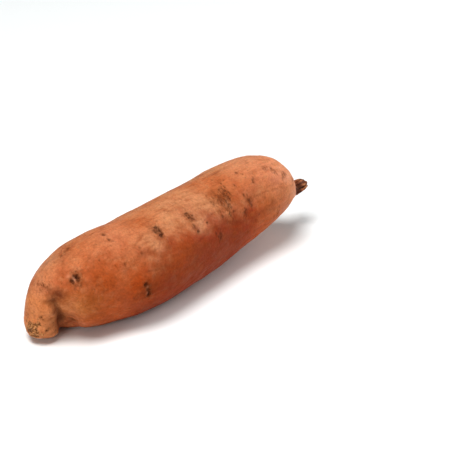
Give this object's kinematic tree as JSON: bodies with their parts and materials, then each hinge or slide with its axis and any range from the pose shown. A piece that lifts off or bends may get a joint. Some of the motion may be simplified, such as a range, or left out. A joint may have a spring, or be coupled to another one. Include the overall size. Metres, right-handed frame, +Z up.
{
  "type": "sweet potato",
  "caption": "Whole raw sweet potato: a thick tapering root with a blunt downturned nose at one end and a short broken stalk stub at the other.",
  "frame": {"origin": "on the ground plane, under the middle of the bounding box, with the flat spot of the belly on the ground", "axes": "+X along the root, from the downturned nose to the stalk stub; +Z up, away from the flat resting spot; +Y across the root by the right-hand rule"},
  "size_m": [0.2124, 0.06, 0.0568],
  "materials": {
    "skin": "satin orange-brown root skin, grown in one piece with the woody stalk stub"
  },
  "bodies": {
    "root": {"sweet_potato": "skin"}
  },
  "joints": []
}
